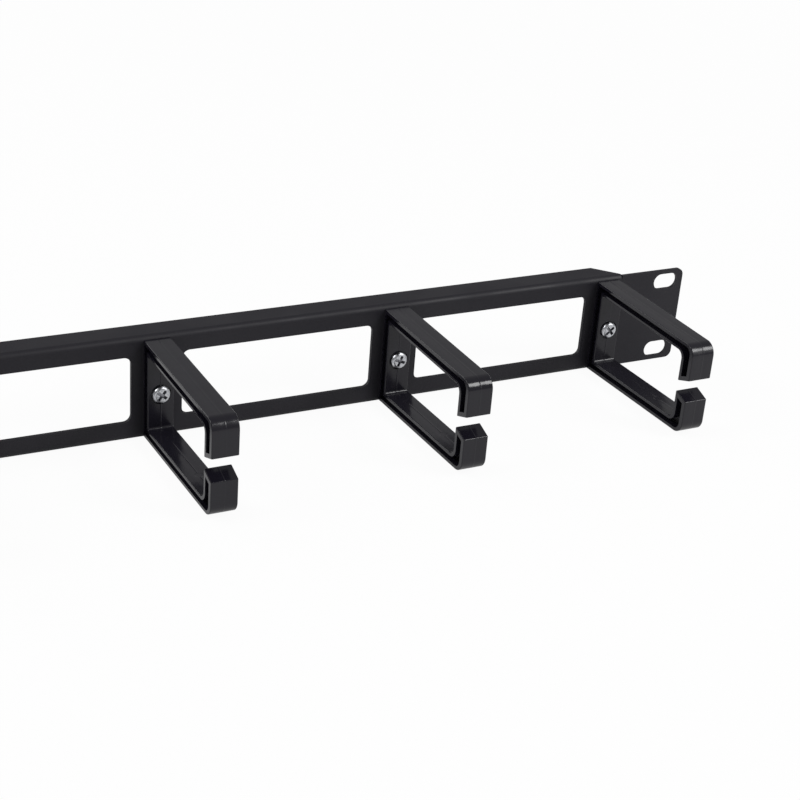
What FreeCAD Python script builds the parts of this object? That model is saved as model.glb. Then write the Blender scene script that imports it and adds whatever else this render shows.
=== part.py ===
import FreeCAD, Part
import math
import os
import re

import Sketcher
from FreeCAD import Placement, Rotation, Vector

# Horizontal cable manager: a folded one-unit rack panel with five open-fronted cable rings.
# Origin in the middle of the four rack slots, on the rear face of the ears, which seats on
# the rack's rails. +X runs along the panel, +Y into the rack, +Z up. Millimetres throughout.

SIZES = {
    # panel: one sheet, punched flat and then folded
    "panel_length": 482.6,
    "ear_height": 42.0,
    "ear_length": 31.7,
    "ear_corner_radius": 3.0,
    "sheet": 1.5,
    "fold_height": 42.6,
    "flange_depth": 11.5,
    "bend_radius": 0.8,
    "flange_end_run": 9.1,
    "slot_length": 12.0,
    "slot_width": 7.0,
    "slot_inset": 8.75,
    "slot_spacing_up": 31.75,
    "window_web": 20.4,
    "window_height": 27.1,
    "window_corner_radius": 3.0,
    # cable ring: one moulding, grooved on both sides so that its section is an I
    "end_ring_inset": 38.9,
    "ring_drop": 0.4,
    "ring_width": 10.5,
    "ring_depth": 70.0,
    "ring_height_rear": 40.4,
    "ring_height_front": 38.4,
    "arm_thickness": 4.8,
    "base_thickness": 4.6,
    "lip_thickness": 7.1,
    "mouth_gap": 4.3,
    "mouth_flare": 9.3,
    "ring_corner_radius": 5.0,
    "ring_throat_radius": 3.0,
    "ring_heel_radius": 1.0,
    "ring_edge_radius": 0.4,
    "web_thickness": 2.5,
    "arm_rim_outer": 1.5,
    "arm_rim_inner": 1.2,
    "base_rim_rear": 0.9,
    "base_rim_front": 1.2,
    "lip_rim_front": 2.0,
    "lip_rim_inner": 1.7,
    "lip_end_wall": 2.0,
    "boss_diameter": 7.5,
    "bore_drop": 0.8,
    "seat_diameter": 8.2,
    "seat_depth": 0.6,
    # fixings: one pan-head screw, lock washer and nut for each ring
    "screw_diameter": 3.5,
    "screw_clearance": 0.5,
    "thread_clearance": 0.2,
    "screw_end_chamfer": 0.5,
    "thread_past_nut": 1.2,
    "head_diameter": 7.1,
    "head_height": 2.2,
    "head_rim_radius": 1.3,
    "recess_span": 4.6,
    "recess_width": 1.2,
    "recess_depth": 1.4,
    "washer_diameter": 6.4,
    "washer_thickness": 0.8,
    "washer_split": 0.7,
    "nut_across_flats": 7.9,
    "nut_height": 2.8,
    "nut_corner_chamfer": 0.35,
}
RING_NAMES = ("far_left", "left", "middle", "right", "far_right")
# Degrees at which each screw, and the nut behind it, came to rest when tightened.
SCREW_TURNS = (62, 14, 38, 22, 50)
SAME_PLACE = 1e-4

doc = FreeCAD.newDocument("horizontal_cable_manager")
sizes = doc.addObject("Spreadsheet::Sheet", "sizes")
for row, (alias, value) in enumerate(SIZES.items(), start=1):
    sizes.set(f"A{row}", alias)
    sizes.set(f"B{row}", str(value))
    sizes.setAlias(f"B{row}", alias)
doc.recompute()


# Expressions name the sheet's aliases bare; cell() points them at the sheet, and number()
# works one out where a position or a count is needed in the script itself.
def cell(expression):
    return re.sub("|".join(sorted(SIZES, key=len, reverse=True)), r"sizes.\g<0>", expression)


def number(expression):
    return float(sizes.evalExpression(cell(expression)))


def bind(feature, **expressions):
    for name, expression in expressions.items():
        feature.setExpression(name, cell(expression))


# ---- sketches ----


def origin_feature(body, role):
    return next(f for f in body.Origin.OriginFeatures if f.Role == role)


def new_sketch(body, name, role):
    sketch = body.newObject("Sketcher::SketchObject", name)
    sketch.AttachmentSupport = [(origin_feature(body, role), "")]
    sketch.MapMode = "FlatFace"
    return sketch


def constrain(sketch, expression, kind, *where):
    index = sketch.addConstraint(Sketcher.Constraint(kind, *where, number(expression)))
    sketch.setExpression(f"Constraints[{index}]", cell(expression))


def pin(sketch, geometry, end, across, up):
    constrain(sketch, across, "DistanceX", -1, 1, geometry, end)
    constrain(sketch, up, "DistanceY", -1, 1, geometry, end)


def draw_polygon(sketch, corners):
    """Closed outline through corners, each an (across, up) pair of expressions."""
    places = [Vector(number(across), number(up), 0) for across, up in corners]
    lines = [
        sketch.addGeometry(Part.LineSegment(start, places[(i + 1) % len(places)]), False)
        for i, start in enumerate(places)
    ]
    for i, line in enumerate(lines):
        sketch.addConstraint(
            Sketcher.Constraint("Coincident", line, 2, lines[(i + 1) % len(lines)], 1)
        )
        pin(sketch, line, 1, *corners[i])


def draw_circle(sketch, across, up, diameter):
    centre = Vector(number(across), number(up), 0)
    radius = number(diameter) / 2
    circle = sketch.addGeometry(Part.Circle(centre, Vector(0, 0, 1), radius), False)
    constrain(sketch, diameter, "Diameter", circle)
    pin(sketch, circle, 3, across, up)


def draw_rounded(sketch, across, up, length, height, radius):
    """Rectangle with rounded corners, or an obround where the corners fill its height."""
    x, y = number(across), number(up)
    r = number(radius)
    half_x, half_y = number(length) / 2 - r, number(height) / 2 - r
    quarter = math.pi / 2
    obround = half_y < SAME_PLACE
    if obround:
        arcs = [(half_x, 0, -quarter, quarter), (-half_x, 0, quarter, 3 * quarter)]
    else:
        arcs = [
            (half_x, -half_y, -quarter, 0),
            (half_x, half_y, 0, quarter),
            (-half_x, half_y, quarter, 2 * quarter),
            (-half_x, -half_y, 2 * quarter, 3 * quarter),
        ]
    drawn = []
    for dx, dy, start, end in arcs:
        circle = Part.Circle(Vector(x + dx, y + dy, 0), Vector(0, 0, 1), r)
        drawn.append(sketch.addGeometry(Part.ArcOfCircle(circle, start, end), False))
    curves = [sketch.Geometry[arc] for arc in drawn]
    for i, arc in enumerate(drawn):
        after = drawn[(i + 1) % len(drawn)]
        start = curves[i].EndPoint
        end = curves[(i + 1) % len(drawn)].StartPoint
        line = sketch.addGeometry(Part.LineSegment(start, end), False)
        sketch.addConstraint(Sketcher.Constraint("Tangent", arc, 2, line, 1))
        sketch.addConstraint(Sketcher.Constraint("Tangent", line, 2, after, 1))
        if not obround or i == 0:
            level = abs(start.y - end.y) < SAME_PLACE
            sketch.addConstraint(Sketcher.Constraint("Horizontal" if level else "Vertical", line))
    constrain(sketch, radius, "Radius", drawn[0])
    for arc in drawn[1:]:
        sketch.addConstraint(Sketcher.Constraint("Equal", drawn[0], arc))
    first_up = up if obround else f"{up} - ({height}) / 2 + {radius}"
    pin(sketch, drawn[0], 3, f"{across} + ({length}) / 2 - {radius}", first_up)
    if obround:
        constrain(sketch, f"({length}) - 2 * {radius}", "DistanceX", drawn[1], 3, drawn[0], 3)
    else:
        constrain(sketch, f"({length}) - 2 * {radius}", "DistanceX", drawn[2], 3, drawn[1], 3)
        constrain(sketch, f"({height}) - 2 * {radius}", "DistanceY", drawn[0], 3, drawn[1], 3)


# ---- features ----


def pad(body, name, sketch, length, symmetric=False):
    feature = body.newObject("PartDesign::Pad", name)
    feature.Profile = sketch
    feature.SideType = "Symmetric" if symmetric else "One side"
    bind(feature, Length=length)
    sketch.Visibility = False
    doc.recompute()
    return feature


def pocket(body, name, sketch, length, symmetric=False, reverse=False):
    """Cuts a sketch out of the body, and stops if the cut met no material."""
    before = body.Shape.Volume
    feature = body.newObject("PartDesign::Pocket", name)
    feature.Profile = sketch
    feature.SideType = "Symmetric" if symmetric else "One side"
    feature.Reversed = reverse
    bind(feature, Length=length)
    sketch.Visibility = False
    doc.recompute()
    if feature.Shape.Volume > before - SAME_PLACE:
        raise RuntimeError(f"{name} cuts nothing out of {body.Label}")
    return feature


def repeat(body, name, feature, pitch, count):
    """Row of a feature along the panel, whose first copy is the feature itself."""
    row = body.newObject("PartDesign::LinearPattern", name)
    row.Originals = [feature]
    row.Direction = (origin_feature(body, "X_Axis"), [""])
    row.Occurrences = count
    bind(row, Length=f"({pitch}) * {count - 1}")
    body.Tip = row
    doc.recompute()
    return row


def edges_where(shape, wanted):
    numbered = enumerate(shape.Edges, start=1)
    return [f"Edge{i}" for i, edge in numbered if not edge.Degenerated and wanted(edge)]


def edges_through(shape, direction, places):
    """Straight edges along direction that pass through one of the places."""
    def wanted(edge):
        if edge.Curve.TypeId != "Part::GeomLine":
            return False
        if abs(abs(edge.Curve.Direction.dot(direction)) - 1) > SAME_PLACE:
            return False
        offsets = (edge.Vertexes[0].Point - place for place in places)
        return any((o - direction * o.dot(direction)).Length < 10 * SAME_PLACE for o in offsets)

    return edges_where(shape, wanted)


def fillet(body, name, edges, radius):
    if not edges:
        raise RuntimeError(f"{name} finds no edge on {body.Label}")
    base = body.Tip
    feature = body.newObject("PartDesign::Fillet", name)
    feature.Base = (base, edges)
    bind(feature, Radius=radius)
    doc.recompute()
    return feature


def new_body(label):
    body = doc.addObject("PartDesign::Body", label)
    body.Label = label
    return body


# ---- places that the pieces share ----

ALONG = Vector(1, 0, 0)
ACROSS = Vector(0, 1, 0)
WINDOW_COUNT = len(RING_NAMES) - 1
RING_SPACING = f"((panel_length - 2 * end_ring_inset) / {WINDOW_COUNT})"
SCREW_DROP = "(ring_drop + bore_drop)"
SCREW_HOLE = "screw_diameter + screw_clearance"
THREADED_BORE = "(screw_diameter + thread_clearance) / 2"
INTO_RACK = Rotation(ALONG, -90)


def seat_at(x, y, drop, turn=Rotation()):
    """Placement of a piece whose own origin is on its seat."""
    return Placement(Vector(x, number(y), -number(drop)), turn)


# ---- panel ----

HALF_FOLD = "fold_height / 2"
FLANGE_REAR = "(flange_depth - sheet)"
FOLDED_HALF = "(panel_length / 2 - ear_length)"


def make_panel():
    body = new_body("panel")

    # Folded section: the face and both flanges, between the two ears.
    section = new_sketch(body, "folded_section", "YZ_Plane")
    corners = [
        (FLANGE_REAR, HALF_FOLD),
        ("-sheet", HALF_FOLD),
        ("-sheet", f"-{HALF_FOLD}"),
        (FLANGE_REAR, f"-{HALF_FOLD}"),
        (FLANGE_REAR, f"sheet - {HALF_FOLD}"),
        ("0", f"sheet - {HALF_FOLD}"),
        ("0", f"{HALF_FOLD} - sheet"),
        (FLANGE_REAR, f"{HALF_FOLD} - sheet"),
    ]
    draw_polygon(section, corners)
    pad(body, "folded_sheet", section, f"2 * {FOLDED_HALF}", symmetric=True)
    half, thick = number(HALF_FOLD), number("sheet")
    outside = [Vector(0, -thick, side * half) for side in (-1, 1)]
    inside = [Vector(0, 0, side * (half - thick)) for side in (-1, 1)]
    fillet(body, "bend_outside", edges_through(body.Shape, ALONG, outside), "bend_radius + sheet")
    fillet(body, "bend_inside", edges_through(body.Shape, ALONG, inside), "bend_radius")

    # Each flange ends on a diagonal that runs back from the ear.
    ends = new_sketch(body, "flange_ends", "XY_Plane")
    for side in ("-1", "1"):
        past = f"({FOLDED_HALF} + sheet)"
        corners = [
            (f"{side} * {FOLDED_HALF}", "0"),
            (f"{side} * {past}", "0"),
            (f"{side} * {past}", f"{FLANGE_REAR} + sheet"),
            (
                f"{side} * ({FOLDED_HALF} - flange_end_run * (1 + sheet / {FLANGE_REAR}))",
                f"{FLANGE_REAR} + sheet",
            ),
        ]
        draw_polygon(ends, corners)
    pocket(body, "trim_flange_ends", ends, "2 * fold_height", symmetric=True)

    # The ears stay flat.
    ears = new_sketch(body, "ear_outlines", "XZ_Plane")
    for side in ("-1", "1"):
        corners = [
            (f"{side} * {FOLDED_HALF}", "-ear_height / 2"),
            (f"{side} * panel_length / 2", "-ear_height / 2"),
            (f"{side} * panel_length / 2", "ear_height / 2"),
            (f"{side} * {FOLDED_HALF}", "ear_height / 2"),
        ]
        draw_polygon(ears, corners)
    pad(body, "ears", ears, "sheet")
    reach, high = number("panel_length / 2"), number("ear_height / 2")
    tips = [Vector(x * reach, 0, z * high) for x in (-1, 1) for z in (-1, 1)]
    fillet(body, "ear_corners", edges_through(body.Shape, ACROSS, tips), "ear_corner_radius")

    # Punched openings: windows between the rings, rack slots, and a hole behind each ring.
    window = new_sketch(body, "window_outline", "XZ_Plane")
    draw_rounded(
        window, f"-{RING_SPACING} * {(WINDOW_COUNT - 1) / 2}", "0",
        f"{RING_SPACING} - window_web", "window_height", "window_corner_radius",
    )
    first_window = pocket(body, "window", window, "4 * sheet", symmetric=True)
    repeat(body, "windows", first_window, RING_SPACING, WINDOW_COUNT)

    slots = new_sketch(body, "rack_slot_outlines", "XZ_Plane")
    for x in ("-1", "1"):
        for z in ("-1", "1"):
            draw_rounded(
                slots, f"{x} * (panel_length / 2 - slot_inset)", f"{z} * slot_spacing_up / 2",
                "slot_length", "slot_width", "slot_width / 2",
            )
    pocket(body, "rack_slots", slots, "4 * sheet", symmetric=True)

    hole = new_sketch(body, "screw_hole_outline", "XZ_Plane")
    draw_circle(hole, f"-{RING_SPACING} * {WINDOW_COUNT / 2}", f"-{SCREW_DROP}", SCREW_HOLE)
    first_hole = pocket(body, "screw_hole", hole, "4 * sheet", symmetric=True)
    repeat(body, "screw_holes", first_hole, RING_SPACING, len(RING_NAMES))
    return body


# ---- cable ring ----
# Its own frame: origin in the middle of the seat on the panel, arms towards -Y. A place in
# the side view is given as a distance in front of the seat and a height.


def arm_outside(front):
    """Half height over the arms, which lean towards each other."""
    return f"(ring_height_rear - (ring_height_rear - ring_height_front) * ({front}) / ring_depth) / 2"


def arm_inside(front):
    return f"{arm_outside(front)} - arm_thickness"


def lip_end(front):
    """Half height of the mouth, which flares from the throat to the front."""
    from_throat = f"(({front}) - ring_depth + lip_thickness) / lip_thickness"
    return f"(mouth_gap + (mouth_flare - mouth_gap) * {from_throat}) / 2"


LIP_REAR = "ring_depth - lip_thickness"


def both_halves(upper):
    """Closed outline from its upper half, given as (distance in front, half height)."""
    top = [(f"-({front})", up) for front, up in upper]
    bottom = [(f"-({front})", f"-({up})") for front, up in reversed(upper)]
    return top + bottom


def side_places(upper):
    """Positions of the same corners, above and below the ring's middle."""
    return [
        Vector(0, -number(front), side * number(up)) for front, up in upper for side in (-1, 1)
    ]


def make_ring(label, x):
    body = new_body(label)
    heel = ("base_thickness", arm_inside("base_thickness"))
    throat = (LIP_REAR, arm_inside(LIP_REAR))
    nose = ("ring_depth", arm_outside("ring_depth"))
    lip_edges = [(LIP_REAR, lip_end(LIP_REAR)), ("ring_depth", lip_end("ring_depth"))]

    outline = new_sketch(body, f"{label}_outline", "YZ_Plane")
    upper = [heel, throat, *lip_edges, nose, ("0", arm_outside("0"))]
    draw_polygon(outline, both_halves(upper))
    pad(body, f"{label}_blank", outline, "ring_width", symmetric=True)
    for name, corner, radius in (
        ("noses", nose, "ring_corner_radius"),
        ("throats", throat, "ring_throat_radius"),
        ("heels", heel, "ring_heel_radius"),
    ):
        edges = edges_through(body.Shape, ALONG, side_places([corner]))
        fillet(body, f"{label}_{name}", edges, radius)

    # Every outside edge is softened, apart from those on the seat.
    half_width = number("ring_width / 2")

    def on_side(edge):
        flat = all(abs(abs(v.X) - half_width) < SAME_PLACE for v in edge.Vertexes)
        on_seat = all(abs(v.Y) < SAME_PLACE for v in edge.Vertexes)
        return flat and not on_seat

    soft = edges_where(body.Shape, on_side)
    soft += edges_through(body.Shape, ALONG, side_places(lip_edges))
    fillet(body, f"{label}_soft_edges", soft, "ring_edge_radius")

    # Groove round both sides: cut right through, with the web put back in the middle.
    groove_front = "ring_depth - lip_rim_front"
    groove_rear = f"{LIP_REAR} + lip_rim_inner"
    groove_heel = "base_thickness - base_rim_front"
    nose_inside = (groove_front, f"{arm_outside(groove_front)} - arm_rim_outer")
    throat_outside = (groove_rear, f"{arm_inside(groove_rear)} + arm_rim_inner")
    groove = [
        (groove_heel, f"{arm_inside(groove_heel)} + arm_rim_inner"),
        throat_outside,
        (groove_rear, f"{lip_end(groove_rear)} + lip_end_wall"),
        (groove_front, f"{lip_end(groove_front)} + lip_end_wall"),
        nose_inside,
        ("base_rim_rear", f"{arm_outside('base_rim_rear')} - arm_rim_outer"),
    ]
    for name, cut in (("groove", True), ("web", False)):
        sketch = new_sketch(body, f"{label}_{name}_outline", "YZ_Plane")
        draw_polygon(sketch, both_halves(groove))
        if cut:
            pocket(body, f"{label}_{name}", sketch, "2 * ring_width", symmetric=True)
        else:
            pad(body, f"{label}_{name}", sketch, "web_thickness", symmetric=True)
    for name, corner, radius in (
        ("nose_insides", nose_inside, "ring_corner_radius - lip_rim_front"),
        ("throat_outsides", throat_outside, "ring_throat_radius + arm_rim_inner"),
    ):
        edges = edges_through(body.Shape, ALONG, side_places([corner]))
        fillet(body, f"{label}_{name}", edges, radius)

    # Boss across the base for the screw, its clearance hole, and the sunk seat of its head.
    boss = new_sketch(body, f"{label}_boss_outline", "XZ_Plane")
    draw_circle(boss, "0", "-bore_drop", "boss_diameter")
    pad(body, f"{label}_boss", boss, "base_thickness - ring_edge_radius")
    bore = new_sketch(body, f"{label}_bore_outline", "XZ_Plane")
    draw_circle(bore, "0", "-bore_drop", SCREW_HOLE)
    pocket(body, f"{label}_bore", bore, "base_thickness", reverse=True)
    seat = new_sketch(body, f"{label}_seat_outline", "XZ_Plane")
    bind(seat, **{"AttachmentOffset.Base.z": "base_thickness"})
    draw_circle(seat, "0", "-bore_drop", "seat_diameter")
    pocket(body, f"{label}_seat", seat, "seat_depth")
    body.Placement = seat_at(x, "-sheet", "ring_drop")
    return body


# ---- fixings ----
# Each has its own frame: the axis is Y, with the seat at the origin.

GRIP = "(base_thickness - seat_depth + sheet + washer_thickness + nut_height)"


def make_screw(label, x, turn):
    body = new_body(label)
    profile = new_sketch(body, f"{label}_profile", "YZ_Plane")
    end = f"({GRIP} + thread_past_nut)"
    corners = [
        ("-head_height", "0"),
        ("-head_height", "head_diameter / 2"),
        ("0", "head_diameter / 2"),
        ("0", "screw_diameter / 2"),
        (f"{end} - screw_end_chamfer", "screw_diameter / 2"),
        (end, "screw_diameter / 2 - screw_end_chamfer"),
        (end, "0"),
    ]
    draw_polygon(profile, corners)
    turned = body.newObject("PartDesign::Revolution", f"{label}_turned")
    turned.Profile = profile
    turned.ReferenceAxis = (origin_feature(body, "Y_Axis"), [""])
    turned.Angle = 360
    profile.Visibility = False
    doc.recompute()

    rim, top = number("head_diameter / 2"), -number("head_height")

    def on_crown(edge):
        circle = edge.Curve.TypeId == "Part::GeomCircle"
        return circle and abs(edge.Curve.Radius - rim) < SAME_PLACE and (
            abs(edge.Curve.Center.y - top) < SAME_PLACE
        )

    fillet(body, f"{label}_crown", edges_where(body.Shape, on_crown), "head_rim_radius")

    # Cross recess in the head: one arm's three corners, turned a quarter at a time.
    recess = new_sketch(body, f"{label}_recess_outline", "XZ_Plane")
    bind(recess, **{"AttachmentOffset.Base.z": "head_height"})
    reach, half = "recess_span / 2", "recess_width / 2"
    arm = [(half, reach), (f"-({half})", reach), (f"-({half})", half)]
    corners = []
    for _ in range(4):
        corners += arm
        arm = [(f"-({up})", across) for across, up in arm]
    draw_polygon(recess, corners)
    pocket(body, f"{label}_recess", recess, "recess_depth")
    seat = "seat_depth - sheet - base_thickness"
    body.Placement = seat_at(x, seat, SCREW_DROP, Rotation(ACROSS, turn))
    return body


def primitive(kind, name, **expressions):
    feature = doc.addObject(f"Part::{kind}", name)
    bind(feature, **expressions)
    feature.Visibility = False
    doc.recompute()
    return feature


def combine(kind, name, base, tool):
    feature = doc.addObject(f"Part::{kind}", name)
    feature.Base, feature.Tool = base, tool
    doc.recompute()
    return feature


def make_washer(label, x):
    height = "washer_thickness"
    disc = primitive("Cylinder", f"{label}_disc", Radius="washer_diameter / 2", Height=height)
    hole = primitive("Cylinder", f"{label}_hole", Radius=THREADED_BORE, Height=height)
    split = primitive(
        "Box", f"{label}_split", Length="washer_diameter", Width="washer_split", Height=height
    )
    bind(split, **{"Placement.Base.y": "-washer_split / 2"})
    ring = combine("Cut", f"{label}_ring", disc, hole)
    washer = combine("Cut", label, ring, split)
    washer.Label = label
    washer.Placement = seat_at(x, "0", SCREW_DROP, INTO_RACK)
    return washer


def make_nut(label, x, turn):
    corner = "nut_across_flats / (2 * cos(30))"
    block = primitive("Prism", f"{label}_block", Circumradius=corner, Height="nut_height")
    block.Polygon = 6
    disc = primitive("Cylinder", f"{label}_disc", Radius=corner, Height="nut_height")
    turned = doc.addObject("Part::Chamfer", f"{label}_turned")
    turned.Base = disc
    bevel = number("nut_corner_chamfer")
    rims = [i for i, edge in enumerate(disc.Shape.Edges, 1) if edge.Curve.TypeId == "Part::GeomCircle"]
    turned.Edges = [(i, bevel, bevel) for i in rims]
    hole = primitive("Cylinder", f"{label}_hole", Radius=THREADED_BORE, Height="nut_height")
    body = doc.addObject("Part::MultiCommon", f"{label}_body")
    body.Shapes = [block, turned]
    doc.recompute()
    nut = combine("Cut", label, body, hole)
    nut.Label = label
    turned_in = Rotation(ACROSS, turn).multiply(INTO_RACK)
    nut.Placement = seat_at(x, "washer_thickness", SCREW_DROP, turned_in)
    return nut


# ---- the whole assembly ----

parts = [make_panel()]
for index, (side, turn) in enumerate(zip(RING_NAMES, SCREW_TURNS)):
    x = number(RING_SPACING) * (index - WINDOW_COUNT / 2)
    parts.append(make_ring(f"{side}_ring", x))
    parts.append(make_screw(f"{side}_screw", x, turn))
    parts.append(make_washer(f"{side}_washer", x))
    parts.append(make_nut(f"{side}_nut", x, turn))
doc.recompute()

for feature in doc.Objects:
    if {"Invalid", "Error"} & set(feature.State):
        raise RuntimeError(f"{feature.Label} did not recompute: {feature.State}")
for part in parts:
    if part.Shape.isNull() or not part.Shape.isValid() or len(part.Shape.Solids) != 1:
        raise RuntimeError(f"{part.Label} is not one valid solid")

os.makedirs("parts", exist_ok=True)
for part in parts:
    part.Shape.exportStep(f"parts/{part.Label}.step")
    print(f"{part.Label}: {part.Shape.Volume:.1f} mm3, {len(part.Shape.Faces)} faces")
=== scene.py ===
import math

import bpy
import numpy as np
from mathutils import Matrix, Vector


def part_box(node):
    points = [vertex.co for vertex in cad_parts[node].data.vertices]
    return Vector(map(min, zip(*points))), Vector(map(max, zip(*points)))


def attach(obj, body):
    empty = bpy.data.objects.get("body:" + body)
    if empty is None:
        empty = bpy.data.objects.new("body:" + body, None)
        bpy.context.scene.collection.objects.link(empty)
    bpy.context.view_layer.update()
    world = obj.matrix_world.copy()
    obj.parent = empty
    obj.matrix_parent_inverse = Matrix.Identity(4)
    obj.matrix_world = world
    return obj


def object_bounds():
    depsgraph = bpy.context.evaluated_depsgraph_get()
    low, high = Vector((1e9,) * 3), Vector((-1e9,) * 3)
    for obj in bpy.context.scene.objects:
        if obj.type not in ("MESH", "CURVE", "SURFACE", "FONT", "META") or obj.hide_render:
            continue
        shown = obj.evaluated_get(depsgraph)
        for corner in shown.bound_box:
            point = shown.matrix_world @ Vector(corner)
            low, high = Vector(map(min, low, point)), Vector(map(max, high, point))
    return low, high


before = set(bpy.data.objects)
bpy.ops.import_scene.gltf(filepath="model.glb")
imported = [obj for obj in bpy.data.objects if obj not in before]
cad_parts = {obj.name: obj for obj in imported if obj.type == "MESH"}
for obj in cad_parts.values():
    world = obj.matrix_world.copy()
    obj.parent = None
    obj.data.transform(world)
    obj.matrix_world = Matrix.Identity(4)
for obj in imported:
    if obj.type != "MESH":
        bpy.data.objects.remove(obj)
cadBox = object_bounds()
print("frame loaded:", len(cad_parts), "nodes")

mm = 0.001  # everything is in metres
sides = ("far_left", "left", "middle", "right", "far_right")  # the five rings, from left to right


# A node's output. +, - and * on it, abs() and the named methods each add a Math node.
class Wire:
    def __init__(self, paint, socket):
        self.paint = paint
        self.socket = socket

    def out(self, key):  # another output of the same node
        return Wire(self.paint, self.socket.node.outputs[key])

    def maths(self, operation, *terms):
        return self.paint.node("ShaderNodeMath", {"operation": operation}, terms)

    def __add__(self, other):
        return self.maths("ADD", self, other)

    def __radd__(self, other):
        return self.maths("ADD", other, self)

    def __sub__(self, other):
        return self.maths("SUBTRACT", self, other)

    def __rsub__(self, other):
        return self.maths("SUBTRACT", other, self)

    def __mul__(self, other):
        return self.maths("MULTIPLY", self, other)

    def __rmul__(self, other):
        return self.maths("MULTIPLY", other, self)

    def __abs__(self):
        return self.maths("ABSOLUTE", self)

    def most(self, other):  # the larger of the two
        return self.maths("MAXIMUM", self, other)

    def least(self, other):  # the smaller of the two
        return self.maths("MINIMUM", self, other)

    def root(self):
        return self.maths("SQRT", self)

    def folded(self, width):  # up to width, back down to 0, and so on
        return self.maths("PINGPONG", self, width)


# The nodes of one material or of the world.
class Paint:
    def __init__(self, owner):
        owner.use_nodes = True
        self.owner = owner
        self.tree = owner.node_tree
        self.tree.nodes.clear()

    # Every node comes from here: its settings first, then a value or a link for each socket.
    def node(self, kind, settings=None, sockets=(), output=0):
        made = self.tree.nodes.new(kind)
        for key, value in (settings or {}).items():
            setattr(made, key, value)
        pairs = sockets.items() if isinstance(sockets, dict) else enumerate(sockets)
        for key, value in pairs:
            if isinstance(value, Wire):
                self.tree.links.new(value.socket, made.inputs[key])
            else:
                made.inputs[key].default_value = value
        return Wire(self, made.outputs[output]) if made.outputs else None

    # Object coordinates: the whole vector, then x, y and z alone.
    def place(self):
        whole = self.node("ShaderNodeTexCoord").out("Object")
        x = self.node("ShaderNodeSeparateXYZ", {}, [whole])
        return whole, x, x.out("Y"), x.out("Z")

    # Noise between 0 and 1 in blotches of about the size given.
    def noise(self, where, size, detail, roughness):
        sockets = {"Vector": where, "Scale": 1 / size, "Detail": detail, "Roughness": roughness}
        return self.node("ShaderNodeTexNoise", {}, sockets)

    # low..high eased over to newLow..newHigh, and held outside it.
    def between(self, value, low, high, newLow=0.0, newHigh=1.0):
        return self.node(
            "ShaderNodeMapRange", {"clamp": True, "interpolation_type": "SMOOTHSTEP"},
            {"Value": value, "From Min": low, "From Max": high, "To Min": newLow, "To Max": newHigh})

    # The first colour where the mask is 0, the second where it is 1.
    def mixed(self, mask, first, second):
        return self.node("ShaderNodeMix", {"data_type": "RGBA"}, {0: mask, 6: first, 7: second}, 2)

    # Relief as deep as depth, laid one on another: [(height from 0 to 1, depth), ...].
    def relief(self, layers):
        normal = None
        for height, depth in layers:
            sockets = {"Height": height, "Distance": depth, "Strength": 1.0}
            if normal is not None:
                sockets["Normal"] = normal
            normal = self.node("ShaderNodeBump", {}, sockets)
        return normal

    def finish(self, sockets):
        surface = self.node("ShaderNodeBsdfPrincipled", {}, sockets)
        self.node("ShaderNodeOutputMaterial", {}, [surface])
        return self.owner


white = (1.0, 1.0, 1.0, 1)


coat = {
    "dark": (0.0082, 0.0073, 0.0112, 1),
    "light": (0.0125, 0.0115, 0.0162, 1),
    "grain": (0.35 * mm, 3.0, 0.6),  # size, detail and roughness of the noise, here and below
    "grainDepth": 0.006 * mm,
    "grainLight": (0.35, 0.7),  # where along the noise dark turns to light
    "peel": (1.6 * mm, 1.0, 0.5),
    "peelDepth": 0.012 * mm,
    "cloud": (22 * mm, 2.0, 0.5),
    "cloudRough": (0.3, 0.7),
    "roughness": (0.48, 0.60),
    "specular": 0.31,
    "slotAcross": 232.55 * mm,  # from the middle of the panel to the slots
    "slotUp": 15.875 * mm,
    "slotHalfRun": 2.5 * mm,  # half of a slot's straight part
    "wornColour": (0.0300, 0.0294, 0.0288, 1),
    "wornFrom": 3.4 * mm,  # just inside the slot's edge
    "wornTo": 6.0 * mm,
    "wornRagged": 3 * mm,
    "wornShare": 0.5,
    "scuff": (0.9 * mm, 4.0, 0.7),
    "scuffWorn": (0.52, 0.66),
    "wornSmoother": 0.1,
}


# Black powder coat on the panel: fine grain and orange peel, a little rubbed where screws and rack
# bear round the four slots. Reach is the distance to a slot's middle line, made ragged by noise.
def makeCoat():
    paint = Paint(bpy.data.materials.new("powder_coat"))
    where, x, y, z = paint.place()
    noises = ("grain", "peel", "cloud", "scuff")
    grain, peel, cloud, scuff = (paint.noise(where, *coat[key]) for key in noises)
    along = (abs(abs(x) - coat["slotAcross"]) - coat["slotHalfRun"]).most(0.0)
    up = abs(abs(z) - coat["slotUp"])
    reach = (along * along + up * up).root() + (cloud - 0.5) * coat["wornRagged"]
    rubbed = paint.between(reach, coat["wornFrom"], coat["wornTo"], 1.0, 0.0)
    worn = rubbed * paint.between(scuff, *coat["scuffWorn"]) * coat["wornShare"]
    colour = paint.mixed(paint.between(grain, *coat["grainLight"]), coat["dark"], coat["light"])
    rough = paint.between(cloud, *coat["cloudRough"], *coat["roughness"])
    return paint.finish({
        "Base Color": paint.mixed(worn, colour, coat["wornColour"]),
        "Roughness": rough - worn * coat["wornSmoother"],
        "Specular IOR Level": coat["specular"],
        "Normal": paint.relief([(peel, coat["peelDepth"]), (grain, coat["grainDepth"])]),
    })


ringSpacing = 101.2 * mm


# Distance across to the middle plane of the nearest ring, on whichever side of it.
def fromRing(x):
    half = ringSpacing / 2
    return half - (x + half).folded(half)


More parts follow.
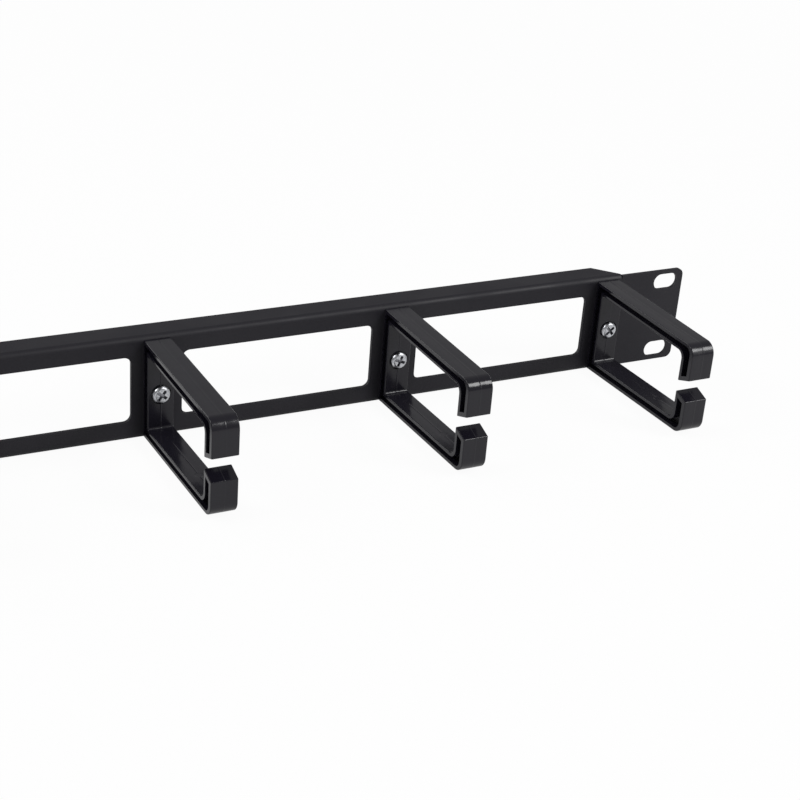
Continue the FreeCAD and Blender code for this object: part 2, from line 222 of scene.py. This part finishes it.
plastic = {
    "dark": (0.0062, 0.0056, 0.0092, 1),
    "light": (0.0090, 0.0080, 0.0130, 1),
    "cloud": (30 * mm, 3.0, 0.5),
    "cloudRough": (0.3, 0.7),
    "roughness": (0.13, 0.24),
    "specular": 0.37,
    "ripple": (9.0 * mm, 1.0, 0.5),
    "rippleDepth": 0.06 * mm,
    "wave": (3.5 * mm, 2.0, 0.5),
    "waveDepth": 0.012 * mm,
    "fine": (0.5 * mm, 3.0, 0.6),
    "fineDepth": 0.0015 * mm,
    "sinkFrom": 0.3 * mm,  # the faces sink a little over the web in the ring's middle
    "sinkTo": 2.8 * mm,
    "sinkDepth": 0.04 * mm,
    "partingWidth": 0.3 * mm,
    "partingDepth": 0.05 * mm,
    "hair": (0.6 * mm, 2.0, 0.7),
    "hairStretch": (1.0, 0.02, 0.6),  # long in the direction of the arms
    "hairSeen": (0.62, 0.76),
    "hairWhere": (0.45, 0.62),  # in the cloud's noise
    "hairRoughness": 0.012,
    "pinPlaces": (-16 * mm, -47 * mm),  # how far in front of the panel
    "pinRadius": 1.6 * mm,
    "pinEdge": 0.12 * mm,
    "pinDepth": 0.04 * mm,
    "ringMiddle": -0.4 * mm,  # the rings' middle height
    "innerHalf": 15.9 * mm,  # half the height between the arms' inner faces, and a little
    "innerEdge": 0.1 * mm,
}


# Black moulded plastic of the rings: near gloss with a slow ripple, sunk a little over the web, a
# parting line round the middle, hairline handling marks, and the round marks that ejector pins leave
# on the arms' inner faces.
def makePlastic():
    paint = Paint(bpy.data.materials.new("ring_plastic"))
    where, x, y, z = paint.place()
    noises = ("ripple", "wave", "cloud", "fine")
    ripple, wave, cloud, fine = (paint.noise(where, *plastic[key]) for key in noises)
    across = fromRing(x)
    sink = paint.between(across, plastic["sinkFrom"], plastic["sinkTo"])
    parting = paint.between(across, 0.0, plastic["partingWidth"], 1.0, 0.0)
    drawn = paint.node("ShaderNodeMapping", {}, {"Vector": where, "Scale": plastic["hairStretch"]})
    hair = paint.between(paint.noise(drawn, *plastic["hair"]), *plastic["hairSeen"])
    hair = hair * paint.between(cloud, *plastic["hairWhere"])
    reach = None
    for pinPlace in plastic["pinPlaces"]:
        away = (across * across + (y - pinPlace) * (y - pinPlace)).root()
        reach = away if reach is None else reach.least(away)
    inside = (plastic["innerHalf"], plastic["innerHalf"] + plastic["innerEdge"])
    rim = (plastic["pinRadius"] - plastic["pinEdge"], plastic["pinRadius"] + plastic["pinEdge"])
    pins = paint.between(abs(z - plastic["ringMiddle"]), *inside, 1.0, 0.0)
    pins = pins * paint.between(reach, *rim, 1.0, 0.0)
    rough = paint.between(cloud, *plastic["cloudRough"], *plastic["roughness"])
    return paint.finish({
        "Base Color": paint.mixed(cloud, plastic["dark"], plastic["light"]),
        "Roughness": rough + hair * plastic["hairRoughness"],
        "Specular IOR Level": plastic["specular"],
        "Normal": paint.relief([
            (ripple, plastic["rippleDepth"]),
            (wave, plastic["waveDepth"]),
            (fine, plastic["fineDepth"]),
            (sink, plastic["sinkDepth"]),
            (parting * (1 - pins), plastic["partingDepth"]),
            (1 - pins, plastic["pinDepth"]),
        ]),
    })


zinc = {
    "bright": (0.66, 0.67, 0.69, 1),
    "shade": (0.40, 0.41, 0.44, 1),
    "mottle": (0.7 * mm, 3.0, 0.65),
    "mottleDepth": 0.012 * mm,
    "mottleBright": (0.3, 0.7),
    "cloud": (3.0 * mm, 2.0, 0.5),
    "cloudRough": (0.3, 0.7),
    "roughness": (0.18, 0.38),
    # painted shade: a dark colour laid into the cross recess, where shade falls
    "recessPaintedShade": (0.14, 0.14, 0.16, 1),
    "recessRoughness": 0.2,
    "axisHeight": -1.2 * mm,  # the screws' height
    "recessReach": 2.5 * mm,  # out from the screw's axis
    "recessReachEdge": 0.15 * mm,
    "recessTop": -7.55 * mm,  # from front to back
    "recessFloor": -6.5 * mm,
    "recessFloorEdge": 0.5 * mm,
}


# Bright zinc plate on screws, washers and nuts: mottled metal, with painted shade and a duller finish
# down in the cross recess.
def makeZinc():
    paint = Paint(bpy.data.materials.new("zinc_plate"))
    where, x, y, z = paint.place()
    mottle = paint.noise(where, *zinc["mottle"])
    cloud = paint.noise(where, *zinc["cloud"])
    across = fromRing(x)
    up = z - zinc["axisHeight"]
    radius = (across * across + up * up).root()
    bottom, reach = zinc["recessFloor"], zinc["recessReach"]
    # where the shade is painted: in the cross recess, between its top and floor along y and within its
    # reach of the axis
    deep = paint.between(y, zinc["recessTop"], bottom)
    deep = deep * paint.between(y, bottom, bottom + zinc["recessFloorEdge"], 1.0, 0.0)
    deep = deep * paint.between(radius, reach, reach + zinc["recessReachEdge"], 1.0, 0.0)
    colour = paint.mixed(paint.between(mottle, *zinc["mottleBright"]), zinc["shade"], zinc["bright"])
    rough = paint.between(cloud, *zinc["cloudRough"], *zinc["roughness"])
    return paint.finish({
        "Base Color": paint.mixed(deep, colour, zinc["recessPaintedShade"]),
        "Metallic": 1.0,
        "Roughness": rough + deep * zinc["recessRoughness"],
        "Normal": paint.relief([(mottle, zinc["mottleDepth"])]),
    })


finishes = {"panel": makeCoat(), "ring": makePlastic(), "fixing": makeZinc()}
print("finishes made:", ", ".join(made.name for made in finishes.values()))

for name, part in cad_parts.items():
    kind = "panel" if name == "panel" else "ring" if name.endswith("_ring") else "fixing"
    for slot in part.material_slots:
        slot.link = "OBJECT"
        slot.material = finishes[kind]
print("panel, rings and fixings dressed")


thread = {
    "pitch": 0.79 * mm,
    "rootRadius": 1.71 * mm,  # just inside the shank
    "crestRadius": 1.86 * mm,
    "flank": (-0.45, -0.108, 0.108, 0.45),  # across the ridge, in pitches: foot, crest, crest, foot
    "fade": 1.2,  # radians over which each end sinks into the shank
    "fadeLeast": 0.05,  # what is left at the very end, still inside the shank
    "stepsPerTurn": 40,
    "insideNut": 0.3 * mm,
    "beforeTip": 0.45 * mm,
}


# The ridge of a screw thread, from one height along y to another round a centre (x, z). At angle a
# and flank offset u the height is start + (a / whole turn + u) pitches, and the radius is the root's,
# or the crest's on the two middle offsets, faded nearly to the root's at both ends. The strip's foot
# and ends are closed inside the shank.
def threadRidge(name, centre, start, end):
    turns = (end - start) / thread["pitch"]
    around = np.linspace(0, turns * 2 * math.pi, int(turns * thread["stepsPerTurn"]) + 1)
    fade = np.clip(np.minimum(around, around[-1] - around) / thread["fade"], thread["fadeLeast"], 1)
    raised = np.array([0.0, 1.0, 1.0, 0.0])
    a, u = np.meshgrid(around, thread["flank"], indexing="ij")
    height = start + (a / (2 * math.pi) + u) * thread["pitch"]
    rise = thread["crestRadius"] - thread["rootRadius"]
    radius = thread["rootRadius"] + rise * raised * fade[:, None]
    points = np.stack([centre[0] + radius * np.cos(a), height, centre[1] + radius * np.sin(a)], -1)
    rows, columns = a.shape
    corner = np.arange(rows * columns).reshape(rows, columns)
    beside = np.roll(corner, -1, axis=1)
    quads = np.stack([corner[:-1], beside[:-1], beside[1:], corner[1:]], -1).reshape(-1, 4).tolist()
    quads += [corner[0, ::-1].tolist(), corner[-1].tolist()]
    mesh = bpy.data.meshes.new(name)
    mesh.from_pydata(points.reshape(-1, 3), [], quads)
    mesh.polygons.foreach_set("use_smooth", np.ones(len(mesh.polygons), bool))
    mesh.materials.append(finishes["fixing"])
    mesh.update()
    ridge = bpy.data.objects.new(name, mesh)
    bpy.context.scene.collection.objects.link(ridge)
    return ridge


for side in sides:
    low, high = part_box(side + "_screw")
    nutLow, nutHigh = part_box(side + "_nut")
    centre = ((low.x + high.x) / 2, (low.z + high.z) / 2)
    start, end = nutHigh.y - thread["insideNut"], high.y - thread["beforeTip"]
    ridge = threadRidge(side + "_thread", centre, start, end)
    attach(ridge, "root")
print("threads cut on the screws")


floor = {
    "size": 12.0,
    "colour": (0.82, 0.82, 0.82, 1),
    "gap": 0.3 * mm,  # under the object
    "white": (0.95, 1.0),  # plain white's share, near and far, of what the eye sees of the lit floor
    "nearTo": 0.5,
    "farFrom": 1.6,
    "inGloss": 0.4,  # how much of that white shines back from gloss and metal
}


# A white floor with a soft shadow near the object, plain white further off and clear from below.
def makeFloor():
    half = floor["size"] / 2
    level = cadBox[0][2] - floor["gap"]
    corners = [(-half, -half, level), (half, -half, level), (half, half, level), (-half, half, level)]
    mesh = bpy.data.meshes.new("floor")
    mesh.from_pydata(corners, [], [(0, 1, 2, 3)])
    paint = Paint(bpy.data.materials.new("floor_white"))
    where, x, y, z = paint.place()
    away = (x * x + y * y).root()
    share = paint.between(away, floor["nearTo"], floor["farFrom"], *floor["white"])
    eye = paint.node("ShaderNodeLightPath").out("Is Camera Ray")
    seen = eye.most(eye.out("Is Glossy Ray") * floor["inGloss"])
    matt = paint.node("ShaderNodeBsdfDiffuse", {}, {"Color": floor["colour"]})
    plain = paint.node("ShaderNodeEmission", {}, {"Color": white, "Strength": 1.0})
    above = paint.node("ShaderNodeMixShader", {}, [seen * share, matt, plain])
    below = paint.node("ShaderNodeNewGeometry").out("Backfacing")
    clear = paint.node("ShaderNodeBsdfTransparent")
    whole = paint.node("ShaderNodeMixShader", {}, [below, above, clear])
    paint.node("ShaderNodeOutputMaterial", {}, [whole])
    mesh.materials.append(paint.owner)
    made = bpy.data.objects.new("floor", mesh)
    bpy.context.scene.collection.objects.link(made)


room = {
    "light": 0.33,
    "seen": 1.0,
    "inGloss": 0.08,
}


# Soft even light all round, white to the eye and a little whiter than itself in gloss and metal.
def makeRoom():
    world = bpy.data.worlds.new("room")
    paint = Paint(world)
    eye = paint.node("ShaderNodeLightPath").out("Is Camera Ray")
    seen = eye.most(eye.out("Is Glossy Ray") * room["inGloss"])
    soft = paint.node("ShaderNodeBackground", {}, {"Color": white, "Strength": room["light"]})
    plain = paint.node("ShaderNodeBackground", {}, {"Color": white, "Strength": room["seen"]})
    whole = paint.node("ShaderNodeMixShader", {}, [seen, soft, plain])
    paint.node("ShaderNodeOutputWorld", {}, [whole])
    bpy.context.scene.world = world


lamps = {  # place, aim, size, watts
    "overhead": ((0.95, -0.85, 1.05), (0.05, 0.0, 0.0), 0.6, 13.0),
    "left": ((-1.1, 0.1, 1.1), (0.0, 0.0, 0.0), 0.7, 9.0),
    "right": ((1.2, -0.9, 0.5), (0.1, 0.0, 0.0), 0.6, 1.6),
    "rear": ((-0.9, 1.2, 0.8), (0.0, 0.0, 0.0), 0.8, 6.0),
}


def makeLamp(name, place, aim, size, watts):
    light = bpy.data.lights.new(name, "AREA")
    light.shape = "SQUARE"
    light.size = size
    light.energy = watts
    lamp = bpy.data.objects.new(name, light)
    lamp.location = place
    lamp.rotation_euler = (Vector(aim) - Vector(place)).to_track_quat("-Z", "Y").to_euler()
    bpy.context.scene.collection.objects.link(lamp)


makeFloor()
makeRoom()
for name, values in lamps.items():
    makeLamp(name, *values)
bpy.context.scene.view_settings.view_transform = "Standard"
print("floor, room and", len(lamps), "lamps set up")


viewpoint = {
    "place": (-0.20285, -0.56103, 0.28334),
    "azimuth": 28.74,  # degrees to the right of straight at the panel
    "elevation": 27.23,  # degrees down
    "roll": 4.48,  # degrees about its own axis
    "lens": 77.10,
    "sensor": 36,
    "shiftAcross": 0.01,
    "shiftUp": 0.0625,
    "nearest": 0.01,
}


# Forward is the direction that azimuth and elevation give, right is level before the roll leans it.
def makeCamera():
    angles = ("azimuth", "elevation", "roll")
    azimuth, elevation, roll = (math.radians(viewpoint[key]) for key in angles)
    flat = math.cos(elevation)
    forward = Vector((math.sin(azimuth) * flat, math.cos(azimuth) * flat, -math.sin(elevation)))
    level = forward.cross(Vector((0, 0, 1))).normalized()
    right = level * math.cos(roll) + level.cross(forward) * math.sin(roll)
    up = right.cross(forward)
    data = bpy.data.cameras.new("camera")
    data.sensor_width = viewpoint["sensor"]
    data.lens = viewpoint["lens"]
    data.shift_x = viewpoint["shiftAcross"]
    data.shift_y = viewpoint["shiftUp"]
    data.clip_start = viewpoint["nearest"]
    camera = bpy.data.objects.new("camera", data)
    camera.matrix_world = Matrix((right, up, -forward)).transposed().to_4x4()
    camera.location = viewpoint["place"]
    bpy.context.scene.collection.objects.link(camera)
    bpy.context.scene.camera = camera


makeCamera()
print("camera placed")
